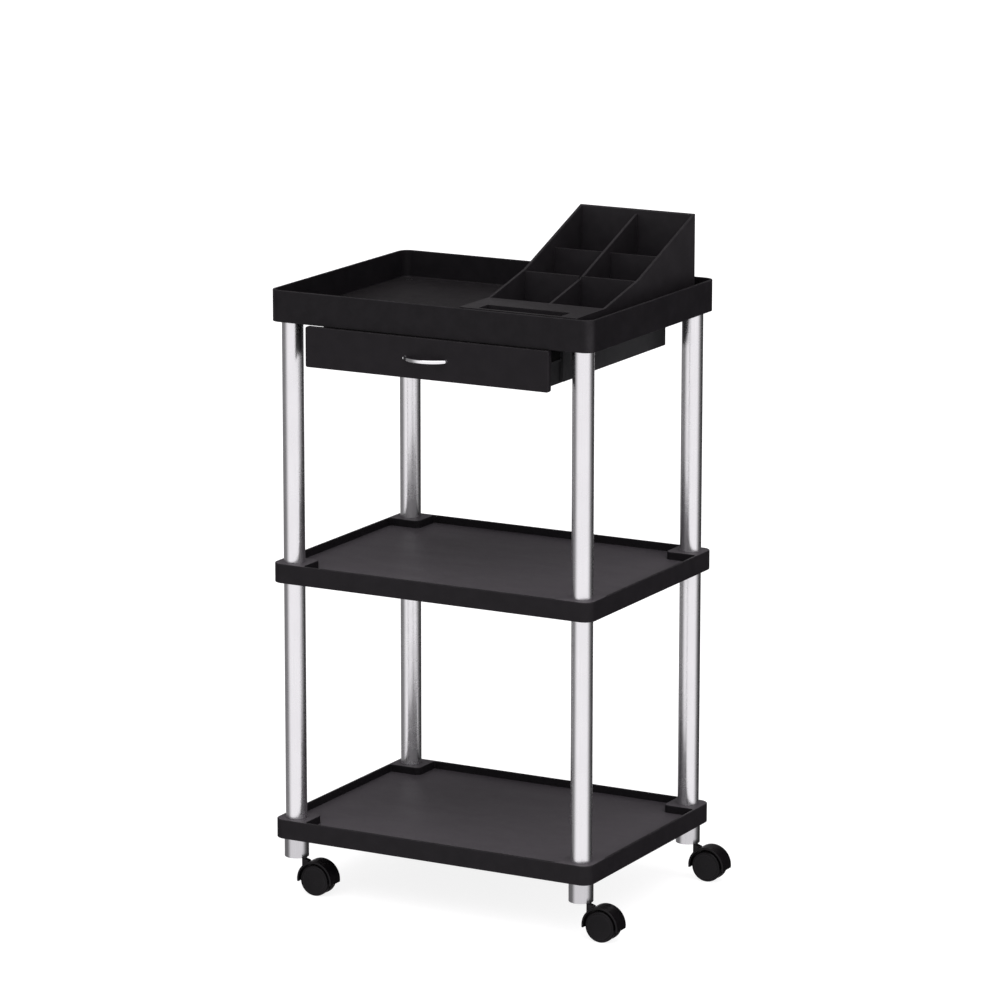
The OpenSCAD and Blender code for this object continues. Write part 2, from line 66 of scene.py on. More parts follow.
HALF_W, HALF_D = node_box("top_tray")[1][:2]
RIM = 4.0
CORNER_R = 16.0
CORNERS = {"fl": (-1, -1), "fr": (1, -1), "rl": (-1, 1), "rr": (1, 1)}
LEG = {}
for corner in CORNERS:
    low, high = node_box("upper_pole_" + corner)
    LEG[corner] = (low + high)[:2] / 2
print("tiers", 2 * HALF_W, "by", 2 * HALF_D, "mm; legs at",
      {corner: place.round(1).tolist() for corner, place in LEG.items()})

# %% [markdown]
# The camera comes before any piece, so that every later look is from the right place. A long
# lens far away keeps the uprights nearly parallel, as in a catalogue picture. Its place is in
# millimetres from the cart's middle, and its three directions are square to each other.

# %% The camera
LENS = 181.4118
CAMERA_AT = np.array([3340.63, -6113.46, 2115.10])
TO_RIGHT = (0.878058537, 0.478552266, 0.000966308)
TO_TOP = (-0.104725413, 0.190181492, 0.976147319)
BACKWARD = (0.466953737, -0.857215684, 0.217107066)
scene = bpy.context.scene
camera = bpy.data.objects.new("studio_camera", bpy.data.cameras.new("studio_camera"))
scene.collection.objects.link(camera)
camera.data.sensor_width = 36.0
camera.data.lens = LENS
camera.data.clip_end = 50.0
columns = np.eye(4)
columns[:3, :3] = np.column_stack([TO_RIGHT, TO_TOP, BACKWARD])
columns[:3, 3] = (CAMERA_AT + MIDDLE) / 1000
camera.matrix_world = Matrix(columns.tolist())
scene.camera = camera
print("camera stands", round(float(np.linalg.norm(columns[:3, 3])), 2), "m away")

# %% [markdown]
# A moulded part has no truly sharp edge, and it is the small round along each edge that catches
# the light. So a profile is written with its plain corners first, and this helper then rounds
# each of them by its own cut. Support points just outside each round keep the flats flat.

# %% Round the corners of a profile
SUPPORT = 0.6


def softened(points, cuts, steps=4, closed=False):
    """A corner P with cut c becomes the curve (1-t)^2 A + 2t(1-t) P + t^2 B, for t from 0 to 1,
    where A and B lie c from P on the sides before and after it. A support point follows on
    each side, SUPPORT times c further out."""
    points = np.asarray(points, float)
    cuts = np.broadcast_to(cuts, len(points))
    t = np.linspace(0, 1, steps + 1)[:, None]
    out = []
    for i, (corner, cut) in enumerate(zip(points, cuts)):
        if cut == 0 or (not closed and i in (0, len(points) - 1)):
            out.append(corner[None])
            continue
        before = points[i - 1] - corner
        after = points[(i + 1) % len(points)] - corner
        room = [np.linalg.norm(before), np.linalg.norm(after)]
        cut = min(cut, 0.3 * min(room))
        back, on = cut * before / room[0], cut * after / room[1]
        a, b = corner + back, corner + on
        curve = (1 - t) ** 2 * a + 2 * t * (1 - t) * corner + t ** 2 * b
        out += [(a + SUPPORT * back)[None], curve, (b + SUPPORT * on)[None]]
    return np.concatenate(out)


print("a softened right angle has", len(softened([(0, 0), (9, 0), (9, 9)], 1)), "points")

# %% [markdown]
# The tiers and panels all have outlines of right angles with rounded corners. Such an outline is
# kept as points with their inward directions, because then the same outline can be drawn again
# a little further in, point for point, and the rings can be joined to a skin.

# %% Outlines of right angles with rounded corners


def rounded(corners, radii, steps=8):
    """Counter-clockwise outline as points and inward directions. At a corner with sides whose
    inward directions are n and m, and turn +1 outward or -1 inward, the inward direction is
    cos(a) n + sin(a) m for a from 0 to 90 degrees, and the point is
    corner + turn r (n + m) - turn r (cos(a) n + sin(a) m)."""
    corners = np.asarray(corners, float)
    radii = np.broadcast_to(radii, len(corners))
    a = np.linspace(0, np.pi / 2, steps + 1)[:, None]
    points, inward = [], []
    for i, (corner, radius) in enumerate(zip(corners, radii)):
        into = corner - corners[i - 1]
        out = corners[(i + 1) % len(corners)] - corner
        into, out = into / np.linalg.norm(into), out / np.linalg.norm(out)
        turn = np.sign(into[0] * out[1] - into[1] * out[0])
        n, m = np.array([-into[1], into[0]]), np.array([-out[1], out[0]])
        direction = np.cos(a) * n + np.sin(a) * m
        points.append(corner + turn * radius * (n + m) - turn * radius * direction)
        inward.append(direction)
    return np.concatenate(points), np.concatenate(inward)


def box_corners(x0, x1, y0, y1):
    """The four corners of an upright rectangle, counter-clockwise."""
    return [(x0, y0), (x1, y0), (x1, y1), (x0, y1)]


tier_points, tier_inward = rounded(box_corners(-HALF_W, HALF_W, -HALF_D, HALF_D), CORNER_R, 10)
print("outline of a tier has", len(tier_points), "points")

# %% [markdown]
# Most pieces are then a stack of rings: a grid whose one parameter runs round the ring and whose
# other runs along the profile. Neighbouring rings are joined with four-sided faces, and the first
# and last ring are closed with one flat face each, unless the profile closes on itself.

# %% Skins between rings


def stacked(path, ring_at):
    """rings[k, j] = (x, y of point j of ring_at(inset_k), z_k) for a path of (inset, z)."""
    return np.array([np.column_stack([ring, np.full(len(ring), z)])
                     for ring, z in ((ring_at(inset), z) for inset, z in path)])


def skin(rings, closed=False):
    """Points and faces of the grid rings[k, j]; j runs round and k along."""
    rows, round_it = rings.shape[:2]
    number = np.arange(rows * round_it).reshape(rows, round_it)
    if closed:
        number = np.vstack([number, number[:1]])
    nearer, further = number[:-1], number[1:]
    quads = np.stack([nearer, np.roll(nearer, -1, 1), np.roll(further, -1, 1), further], -1)
    faces = quads.reshape(-1, 4).tolist()
    if not closed:
        faces += [number[0][::-1].tolist(), number[-1].tolist()]
    return rings.reshape(-1, 3), faces


def turned(path, centre, axis="z", around=72, closed=False):
    """A lathe surface: radius r and height h, at angle a, give (r cos a, r sin a, h) about an
    upright axis, or (r cos a, h, r sin a) about one that lies along y."""
    angle = np.arange(around) * 2 * np.pi / around
    r, h = np.asarray(path, float).T[:, :, None]
    flat = [r * np.cos(angle), r * np.sin(angle), h + 0 * angle]
    if axis == "y":
        flat = [flat[0], flat[2], flat[1]]
    return skin(np.stack(flat, -1) + np.asarray(centre, float), closed)


print("helpers ready")

# %% [markdown]
# One maker turns points and faces into a finished object. It merges the points that fall on each
# other, makes the faces look outward, and stores on every point how much it is an outer edge,
# which the finishes read later to rub those edges a little. The Weighted Normal modifier lets
# the large flats decide the shading, so the rounds between them look like rounds.

# %% Make a piece
EDGE_FROM, EDGE_GAIN = 0.055, 20
WELD = 2e-6


def read(layer, key, width=3, kind=float):
    """One row of numbers for each vertex or edge of a mesh."""
    values = np.empty(width * len(layer), kind)
    layer.foreach_get(key, values)
    return values.reshape(-1, width)


def edge_amount(mesh):
    """0 on flat or hollow ground, up to 1 on an outer edge: (s - EDGE_FROM) EDGE_GAIN, with s the
    mean sine of the angle by which a point's neighbours lie below its own tangent plane."""
    co, normal = read(mesh.vertices, "co"), read(mesh.vertices, "normal")
    a, b = read(mesh.edges, "vertices", 2, int).T
    along = co[b] - co[a]
    along /= np.maximum(np.linalg.norm(along, axis=1), 1e-9)[:, None]
    drop, met = np.zeros(len(co)), np.zeros(len(co))
    np.add.at(drop, a, -(along * normal[a]).sum(1))
    np.add.at(drop, b, (along * normal[b]).sum(1))
    np.add.at(met, a, 1)
    np.add.at(met, b, 1)
    return np.clip((drop / np.maximum(met, 1) - EDGE_FROM) * EDGE_GAIN, 0, 1)


def make_piece(name, shape, body, finish, nodes=(), sharp=50, bevel=0.0, rubbed=True):
    """Puts a shape in millimetres of the cart into the scene, in metres of the frame."""
    points, faces = shape
    mesh = bpy.data.meshes.new(name)
    mesh.from_pydata(((points + MIDDLE) / 1000).tolist(), [], faces)
    work = bmesh.new()
    work.from_mesh(mesh)
    bmesh.ops.remove_doubles(work, verts=work.verts, dist=WELD)
    bmesh.ops.dissolve_degenerate(work, edges=work.edges, dist=WELD)
    if work.calc_volume(signed=True) < 0:
        bmesh.ops.reverse_faces(work, faces=work.faces)
    loose = sum(not edge.is_manifold for edge in work.edges)
    work.to_mesh(mesh)
    work.free()
    mesh.polygons.foreach_set("use_smooth", np.ones(len(mesh.polygons), bool))
    mesh.set_sharp_from_angle(angle=np.radians(sharp))
    amount = edge_amount(mesh) if rubbed else np.zeros(len(mesh.vertices))
    mesh.attributes.new("edge", "FLOAT", "POINT").data.foreach_set("value", amount)
    piece = bpy.data.objects.new(name, mesh)
    scene.collection.objects.link(piece)
    mesh.materials.append(finish)
    if bevel:
        rounding = piece.modifiers.new("rounding", "BEVEL")
        rounding.width, rounding.segments = bevel / 1000, 3
        rounding.limit_method, rounding.angle_limit = "ANGLE", np.radians(30)
        rounding.miter_outer = "MITER_ARC"
    piece.modifiers.new("shading", "WEIGHTED_NORMAL").keep_sharp = True
    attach(piece, body)
    if nodes:
        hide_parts(*nodes)
    size = np.ptp(points, axis=0).round(1).tolist()
    open_edges = f"({loose} open edges)" if loose else ""
    print(name, "measures", size, "mm in", len(mesh.polygons), "faces", open_edges)
    return piece


print("maker ready")

# %% [markdown]
# A finish is more than a colour. The effects that several finishes share are built once, as node
# groups, and they only give values that vary over the surface. The first is the fine spark-eroded
# texture of a moulding tool: small even noise for the relief, and a slower noise for the shade.

# %% Effect: moulded grain
GRAIN_WAVES = 1400.0


def new_group(name, inputs, outputs):
    """An empty node group with float sockets; returns its tree and its two end nodes."""
    tree = bpy.data.node_groups.new(name, "ShaderNodeTree")
    for socket, value in inputs.items():
        made = tree.interface.new_socket(socket, in_out="INPUT", socket_type="NodeSocketFloat")
        made.default_value = value
    for socket in outputs:
        tree.interface.new_socket(socket, in_out="OUTPUT", socket_type="NodeSocketFloat")
    return tree, tree.nodes.new("NodeGroupInput"), tree.nodes.new("NodeGroupOutput")


def add(tree, kind, links=(), **settings):
    """Adds a node. Settings whose name is a socket set that socket, and links join sockets."""
    node = tree.nodes.new("ShaderNode" + kind)
    for key, value in settings.items():
        if hasattr(node, key):
            setattr(node, key, value)
        else:
            node.inputs[key.replace("_", " ")].default_value = value
    for socket, source in dict(links).items():
        tree.links.new(source, node.inputs[socket])
    return node


def noise(tree, vector, scale, detail=2.0, roughness=0.5):
    """Noise of so many waves to the metre, as a value round one half."""
    node = add(tree, "TexNoise", {"Vector": vector}, Scale=scale, Detail=detail)
    node.inputs["Roughness"].default_value = roughness
    return node.outputs["Fac"]


def ramp(tree, value, low, high, to_low=0.0, to_high=1.0):
    """Maps low..high to to_low..to_high, softly, and holds it there."""
    node = add(tree, "MapRange", {"Value": value}, interpolation_type="SMOOTHSTEP")
    ends = {"From Min": low, "From Max": high, "To Min": to_low, "To Max": to_high}
    for socket, number in ends.items():
        node.inputs[socket].default_value = number
    return node.outputs["Result"]


def maths(tree, operation, a, b):
    """a and b are sockets or numbers."""
    node = add(tree, "Math", operation=operation)
    for socket, value in zip(node.inputs, (a, b)):
        if isinstance(value, (int, float)):
            socket.default_value = value
        else:
            tree.links.new(value, socket)
    return node.outputs[0]


grain, ends_in, ends_out = new_group("moulded_grain", {"Waves": GRAIN_WAVES}, ["Height", "Mottle"])
place = add(grain, "TexCoord").outputs["Object"]
fine = add(grain, "TexNoise", {"Vector": place, "Scale": ends_in.outputs["Waves"]}, Detail=3.0)
broad = noise(grain, place, 45.0, 4.0, 0.6)
grain.links.new(fine.outputs["Fac"], ends_out.inputs["Height"])
mottle = maths(grain, "MULTIPLY", ramp(grain, broad, 0.3, 0.7),
               ramp(grain, fine.outputs["Fac"], 0.3, 0.7, 0.6, 1.0))
grain.links.new(mottle, ends_out.inputs["Mottle"])
print("moulded grain: waves of", round(1000 / GRAIN_WAVES, 2), "mm")

# %% [markdown]
# The second effect is use. Corners and rims are rubbed smooth and a little paler, and hands and
# cloths leave broad, faint, shinier patches. Dust settles only on what faces up. The rubbing
# reads the edge amount that the maker stored on the points, broken up by noise. On the tray's
# upright corners that amount also carries a painted highlight.

# %% Effect: handling and dust
handling, ends_in, ends_out = new_group("handling", {}, ["Rubbed", "Wiped", "Dust"])
place = add(handling, "TexCoord").outputs["Object"]
edge = add(handling, "Attribute", attribute_name="edge").outputs["Fac"]
patches = ramp(handling, noise(handling, place, 60.0, 5.0, 0.65), 0.35, 0.65, 0.35, 1.0)
# wear on edges, and a painted highlight on the tray's corners
rubbed = maths(handling, "MULTIPLY", ramp(handling, edge, 0.1, 0.9), patches)
handling.links.new(rubbed, ends_out.inputs["Rubbed"])
stretched = add(handling, "Mapping", {"Vector": place}, Scale=(9.0, 22.0, 30.0)).outputs["Vector"]
wiped = ramp(handling, noise(handling, stretched, 1.0, 4.0, 0.6), 0.35, 0.7)
handling.links.new(wiped, ends_out.inputs["Wiped"])
facing = add(handling, "NewGeometry").outputs["Normal"]
upward = add(handling, "SeparateXYZ", {"Vector": facing}).outputs["Z"]
specks = ramp(handling, noise(handling, place, 1900.0, 2.0), 0.52, 0.7)
dust = maths(handling, "MULTIPLY", ramp(handling, upward, 0.7, 1.0), specks)
handling.links.new(dust, ends_out.inputs["Dust"])
print("handling: rubbed edges, wiped patches, dust")

# %% [markdown]
# The third effect is drawn metal. The tubes are pulled through a die and then satined, so their
# marks run along them. Noise squeezed lengthwise and fine across gives such streaks.

# %% Effect: drawn metal
STREAK_WAVES = (2600.0, 2600.0, 14.0)
drawn, ends_in, ends_out = new_group("drawn_metal", {}, ["Streak", "Cloud"])
place = add(drawn, "TexCoord").outputs["Object"]
lengthwise = add(drawn, "Mapping", {"Vector": place}, Scale=STREAK_WAVES).outputs["Vector"]
drawn.links.new(noise(drawn, lengthwise, 1.0, 3.0, 0.6), ends_out.inputs["Streak"])
drawn.links.new(ramp(drawn, noise(drawn, place, 18.0, 3.0), 0.3, 0.7), ends_out.inputs["Cloud"])
print("drawn metal: streaks about", round(1000 / STREAK_WAVES[2]), "mm long")

# %% [markdown]
# Now the plastics. All are a black injection moulding, but the tiers have a coarser grain than
# the drawer front, the wheels are smoother, and rubber is duller. Each finish mixes two close
# shades by the mottle, pales its rubbed edges, and varies its roughness with the wiping. The
# lighter grey on the tiers' up-facing tops is painted light, the paled corners of the tray are a
# painted highlight, and the tray's plastic is darker than the tiers' as painted shade. Numbers
# that are the same all over, such as the specular level, stay on the shader's own sockets.

# %% Plastics and rubber
DUST_COLOUR = (0.3, 0.29, 0.27)
# Rubbed edges pale towards the rubbed colour: wear, and on the tray's corners a painted highlight.
RUBBED_AND_HIGHLIGHT_SHARE, DUST_SHARE, WEAR_SHINE = 0.6, 0.12, 0.06


def blend(tree, factor, a, b):
    """Mixes two colours by a varying factor; a may be a socket."""
    node = add(tree, "Mix", {"Factor": factor}, data_type="RGBA")
    if isinstance(a, tuple):
        node.inputs["A"].default_value = (*a, 1.0)
    else:
        tree.links.new(a, node.inputs["A"])
    node.inputs["B"].default_value = (*b, 1.0)
    return node.outputs["Result"]


def new_finish(name, **sockets):
    """A material with its shader; the given sockets get the same value all over."""
    finish = bpy.data.materials.new(name)
    finish.use_nodes = True
    shader = finish.node_tree.nodes["Principled BSDF"]
    for socket, value in sockets.items():
        shader.inputs[socket.replace("_", " ")].default_value = value
    return finish, finish.node_tree, shader


def grouped(tree, group, **sockets):
    """Puts a shared effect into a finish."""
    node = tree.nodes.new("ShaderNodeGroup")
    node.node_tree = group
    for socket, value in sockets.items():
        node.inputs[socket].default_value = value
    return node.outputs


def moulded(name, dark, light, pale, rough, waves=GRAIN_WAVES, relief=0.02, level=0.12, grey=None):
    """Base colour from dark to light by the mottle, to a lighter grey on the up-facing tops that a
    shelf marks for it, which is painted light, and to pale on rubbed edges, which on the tray's
    corners is a painted highlight; roughness round rough; the grain stands relief millimetres
    high."""
    finish, tree, shader = new_finish(name, Specular_IOR_Level=level)
    texture, use = grouped(tree, grain, Waves=waves), grouped(tree, handling)
    colour = blend(tree, texture["Mottle"], dark, light)
    if grey:
        # painted light: the marked up-facing tops of a shelf get a lighter colour
        marked = add(tree, "Attribute", attribute_name="grey").outputs["Fac"]
        shade = ramp(tree, texture["Mottle"], 0.0, 1.0, 0.93, 1.0)
        colour = blend(tree, maths(tree, "MULTIPLY", marked, shade), colour, grey)
    # pale on rubbed edges, and a painted highlight on the tray's corners
    colour = blend(tree, maths(tree, "MULTIPLY", use["Rubbed"], RUBBED_AND_HIGHLIGHT_SHARE), colour, pale)
    colour = blend(tree, maths(tree, "MULTIPLY", use["Dust"], DUST_SHARE), colour, DUST_COLOUR)
    tree.links.new(colour, shader.inputs["Base Color"])
    worn = maths(tree, "ADD", use["Wiped"], use["Rubbed"])
    shine = maths(tree, "MULTIPLY", worn, WEAR_SHINE)
    tree.links.new(maths(tree, "SUBTRACT", rough, shine), shader.inputs["Roughness"])
    bump = add(tree, "Bump", {"Height": texture["Height"]}, Distance=relief / 1000)
    tree.links.new(bump.outputs["Normal"], shader.inputs["Normal"])
    return finish


RUBBED_AND_HIGHLIGHT_BLACK = (0.026, 0.024, 0.0265)
# The tiers' lighter grey on their up-facing tops is painted light.
tier_plastic = moulded("tier_plastic", (0.0072, 0.0063, 0.0074), (0.0095, 0.0083, 0.0098),
                       RUBBED_AND_HIGHLIGHT_BLACK, 0.52, grey=(0.058, 0.0528, 0.059))
# The tray's plastic is darker than the tiers': painted shade, for the shade inside the tray.
tray_plastic = moulded("tray_plastic", (0.0055, 0.0048, 0.0057), (0.0085, 0.0075, 0.0088),
                       RUBBED_AND_HIGHLIGHT_BLACK, 0.5)
front_plastic = moulded("front_plastic", (0.0073, 0.0063, 0.0075), (0.0095, 0.0082, 0.0097),
                        RUBBED_AND_HIGHLIGHT_BLACK, 0.45, 1900.0, 0.012)
drawer_plastic = moulded("drawer_plastic", (0.014, 0.014, 0.015), (0.019, 0.019, 0.02),
                         (0.035, 0.035, 0.036), 0.5)
organiser_plastic = moulded("organiser_plastic", (0.0128, 0.0116, 0.013), (0.0168, 0.0154, 0.017),
                            (0.032, 0.03, 0.0325), 0.4, 1900.0, 0.012)
caster_plastic = moulded("caster_plastic", (0.0025, 0.0021, 0.0026), (0.0042, 0.0036, 0.0043),
                         (0.014, 0.0125, 0.0142), 0.3, 2200.0, 0.006, 0.14)
plug_plastic = moulded("plug_plastic", (0.02, 0.02, 0.021), (0.03, 0.03, 0.031),
                       (0.04, 0.04, 0.041), 0.55)
foot_rubber = moulded("foot_rubber", (0.008, 0.008, 0.008), (0.013, 0.013, 0.013),
                      (0.02, 0.02, 0.02), 0.85, 900.0, 0.05, 0.2)
print("moulded finishes:", sum(finish.use_nodes for finish in bpy.data.materials))

# %% [markdown]
# The metals share the drawn effect too. Tubes are satin silver, the handle is polished and
# chromed, and screws, axles and stems are plain steel, the stems of a very dark colour.

# %% Metals


def metal(name, dull, bright, rough, streak_rough=0.05, relief=0.0005):
    """Base colour from dull to bright by streak and cloud; roughness rises with the streaks."""
    finish, tree, shader = new_finish(name, Metallic=1.0)
    marks, use = grouped(tree, drawn), grouped(tree, handling)
    shade = maths(tree, "MULTIPLY", ramp(tree, marks["Streak"], 0.25, 0.75, 0.4, 1.0),
                  ramp(tree, marks["Cloud"], 0.0, 1.0, 0.75, 1.0))
    tree.links.new(blend(tree, shade, dull, bright), shader.inputs["Base Color"])
    worn = maths(tree, "ADD", marks["Streak"], use["Wiped"])
    uneven = maths(tree, "MULTIPLY", worn, streak_rough)
    tree.links.new(maths(tree, "ADD", uneven, rough), shader.inputs["Roughness"])
    bump = add(tree, "Bump", {"Height": marks["Streak"]}, Distance=relief / 1000)
    tree.links.new(bump.outputs["Normal"], shader.inputs["Normal"])
    return finish


tube_metal = metal("satin_tube", (0.78, 0.78, 0.79), (0.88, 0.88, 0.89), 0.22)
sleeve_metal = metal("satin_sleeve", (0.56, 0.56, 0.57), (0.64, 0.64, 0.65), 0.16)
handle_chrome = metal("handle_chrome", (0.84, 0.85, 0.86), (0.93, 0.93, 0.94), 0.08, 0.03, 0.001)
screw_steel = metal("screw_steel", (0.4, 0.4, 0.41), (0.62, 0.62, 0.63), 0.28)
stem_steel = metal("stem_steel", (0.03, 0.03, 0.032), (0.07, 0.07, 0.075), 0.35)
print("metals ready")

# %% [markdown]
# The top tray is a shallow tub with upright walls. Its section is one profile: from the middle
# of the underside out, round the foot, up the wall, over the rim and down inside to the floor.
# Carried round the outline of the tier, that profile gives the whole tub in one skin. Its four
# upright corners are paled on their rounds through the edge amount, most half way round each:
# a painted highlight.

# %% Top tray
TRAY_FLOOR, TRAY_LANDING = 6.0, 9.0
base, top = node_box("top_tray")[0][2], node_box("top_tray")[1][2]
tray_floor = base + TRAY_FLOOR
section = softened([(TRAY_LANDING, base), (0, base), (0, top), (RIM, top), (RIM, tray_floor),
                    (TRAY_LANDING, tray_floor)], [0, 0.5, 1.3, 1.2, 1.6, 0])
shape = skin(stacked(section, lambda inset: tier_points + inset * tier_inward))
tray = make_piece("tray_tub", shape, "chassis", tray_plastic, ["top_tray"])


def paint_corner_highlight(piece, most):
    """Raises the edge amount on the upright corners to most (sin 2t)^2, with t the angle of the
    corner's round from 0 to 90 degrees. The finish pales them by it: a painted highlight."""
    edge = piece.data.attributes["edge"].data
    amount = read(edge, "value", 1)[:, 0]
    x, y = np.abs(read(piece.data.vertices, "co")[:, :2] * 1000 - MIDDLE[:2]).T
    dx, dy = x - (HALF_W - CORNER_R), y - (HALF_D - CORNER_R)
    outside = (dx > 0) & (dy > 0) & (np.hypot(dx, dy) > CORNER_R - 1.5)
    # painted highlight, strongest half way round each corner's round
    rubbed = np.where(outside, most * np.sin(2 * np.arctan2(dy, dx)) ** 2, 0)
    edge.foreach_set("value", np.maximum(amount, rubbed))
    print("points on rubbed corners:", int(outside.sum()))


# Painted highlight: the tray's four upright corners are paled through the edge amount.
paint_corner_highlight(tray, 0.8)

# %% [markdown]
# A lower shelf has the same outline, but a solid block in each corner where a leg goes through,
# so its sunk floor has twelve corners. Two outlines with matching points are used: the outer one,
# and the inner one round the floor and the blocks. Every point of the inner outline has a partner
# straight out from it, and the flat tops of the blocks are the long faces between partners.

# %% The two outlines of a shelf
BLOCK_X, BLOCK_Y = HALF_W - 52.0, HALF_D - 50.0
WELL_X, WELL_Y = HALF_W - RIM, HALF_D - RIM
FLOOR_R, BLOCK_R = 3.0, 8.0


def shelf_outlines(steps=8):
    """The inner outline turns at (block, well), (block, block) and (well, block) in each corner.
    Its partner slides straight out to the side, or, on the block's own round, runs over the
    outer corner with the same angle."""
    a = np.linspace(0, np.pi / 2, steps + 1)[:, None]
    places, radii, partner, partner_in = [], [], [], []
    for sx, sy in ((1, -1), (1, 1), (-1, 1), (-1, -1)):
        three = [(BLOCK_X, WELL_Y, FLOOR_R), (BLOCK_X, BLOCK_Y, BLOCK_R),
                 (WELL_X, BLOCK_Y, FLOOR_R)]
        for x, y, radius in three if sx * sy < 0 else three[::-1]:
            places.append((sx * x, sy * y))
            radii.append(radius)
    inner, inner_in = rounded(places, radii, steps)
    for i, (x, y) in enumerate(places):
        arc = inner[i * (steps + 1):(i + 1) * (steps + 1)]
        sx, sy = np.sign(x), np.sign(y)
        to_x, to_y = np.array([-sx, 0.0]), np.array([0.0, -sy])
        if radii[i] == BLOCK_R:
            n, m = (to_y, to_x) if sx * sy < 0 else (to_x, to_y)
            direction = np.cos(a) * n + np.sin(a) * m
            centre = np.array([sx * (HALF_W - CORNER_R), sy * (HALF_D - CORNER_R)])
            partner.append(centre - CORNER_R * direction)
        elif abs(y) == WELL_Y:
            direction = np.tile(to_y, (steps + 1, 1))
            partner.append(np.column_stack([arc[:, 0], np.full(steps + 1, sy * HALF_D)]))
        else:
            direction = np.tile(to_x, (steps + 1, 1))
            partner.append(np.column_stack([np.full(steps + 1, sx * HALF_W), arc[:, 1]]))
        partner_in.append(direction)
    return inner, inner_in, np.concatenate(partner), np.concatenate(partner_in)


inner, inner_in, outer, outer_in = shelf_outlines()


def shelf_ring(inset):
    """Up to the middle of the rim the outer outline, moved in by the inset; beyond it the inner
    one, moved in by what is left after the rim."""
    if inset < RIM / 2:
        return outer + inset * outer_in
    return inner + (inset - RIM) * inner_in


print("outlines of a shelf have", len(inner), "points each")

# %% [markdown]
# The shelf is hollow from below as well, with a floor three millimetres thick, as a moulding has
# to be. The profile starts under that floor, comes down to the foot of the rim, goes round it and
# over the top, and ends on the floor where things stand. That floor and the tops of the blocks
# face up, so their points are marked for the finish, which paints them a lighter grey than the
# rim: painted light, for the light that falls on them from above.

# %% Middle and bottom shelf
HOLLOW, FLOOR_T = 14.0, 3.0
LANDING = RIM + 2.5
SAME_LEVEL = 0.02
for name in ("middle_shelf", "bottom_shelf"):
    base, top = node_box(name)[0][2], node_box(name)[1][2]
    under, floor = base + HOLLOW, base + HOLLOW + FLOOR_T
    section = softened([(LANDING, under), (RIM, under), (RIM, base), (0, base), (0, top),
                        (RIM, top), (RIM, floor), (LANDING, floor)],
                       [0, 0.7, 1.0, 1.3, 1.3, 1.0, 0.7, 0])
    shape = skin(stacked(section, shelf_ring))
    tier = make_piece(name.replace("_shelf", "_tier"), shape, "chassis",
                      tier_plastic, [name])
    x, y, z = np.abs(read(tier.data.vertices, "co") * 1000 - MIDDLE).T
    on_block = (np.abs(z - top) < SAME_LEVEL) & (x > BLOCK_X - 2) & (y > BLOCK_Y - 2)
    # painted light: the up-facing floor and block tops are marked to be painted lighter
    grey = on_block | (np.abs(z - floor) < SAME_LEVEL)
    marks = tier.data.attributes.new("grey", "FLOAT", "POINT")
    marks.data.foreach_set("value", grey.astype(float))
    print("grey points:", int(grey.sum()), "of them on blocks:", int(on_block.sum()))

# %% [markdown]
# The legs are round tubes. A tube is a closed rectangle turned on a lathe, with its four corners
# softened, so that its cut ends show a thin bright edge and a real wall. The short sleeves under
# the bottom shelf are solid below, with a bore for the caster's stem near their right side, as the
# photograph shows, so their rings start round the bore and then go over to the sleeve's own circle.

# %% Legs and sleeves
TUBE_WALL = 1.5
for kind in ("upper_pole_", "lower_pole_"):
    for corner in CORNERS:
        low, high = node_box(kind + corner)
        radius = (high[0] - low[0]) / 2
        section = softened([(radius, low[2]), (radius, high[2]), (radius - TUBE_WALL, high[2]),
                            (radius - TUBE_WALL, low[2])], 0.4, closed=True)
        shape = turned(section, (*LEG[corner], 0), closed=True)
        make_piece(kind + corner + "_tube", shape, "chassis", tube_metal,
                   [kind + corner])


def bored(corner, low, high, bore_r=3.08, bore_h=20.4, seat_r=13.75, seat_h=7.0, around=96):
    """Rings of (axis, radius, z): up in the bore, out over the lower face, up the outside, and
    down into the seat of the plug. A ring is axis + radius (cos a, sin a)."""
    angle = np.arange(around) * 2 * np.pi / around
    circle = np.column_stack([np.cos(angle), np.sin(angle)])
    leg, stem = LEG[corner], STEM[corner]
    r, z0, z1 = (high[0] - low[0]) / 2, low[2], high[2]
    rings = [(stem, bore_r, z0 + bore_h), (stem, bore_r, z0 + 0.3), (stem, bore_r + 0.3, z0),
             (leg, r - 0.5, z0), (leg, r - 0.15, z0 + 0.15), (leg, r, z0 + 0.5),
             (leg, r, z1 - 0.5), (leg, r - 0.5, z1), (leg, seat_r + 0.3, z1),
             (leg, seat_r, z1 - 0.3), (leg, seat_r, z1 - seat_h)]
    return skin(np.array([np.column_stack([axis + radius * circle, np.full(around, z)])
                          for axis, radius, z in rings]))


STEM = {}
for corner in CORNERS:
    low, high = node_box("caster_stem_" + corner)
    STEM[corner] = (low + high)[:2] / 2
    shape = bored(corner, *node_box("leg_sleeve_" + corner))
    make_piece(f"leg_sleeve_{corner}_tube", shape, "chassis", sleeve_metal,
               ["leg_sleeve_" + corner], sharp=40)

# %% [markdown]
# A caster's wheel is a solid disc. Its outer face is slightly domed, ends in a fine groove, and
# the tread is rounded over to both sides. It is turned about a lying axis, with the blind hole
# for the axle from its inner side, so the profile starts and ends on the axis.

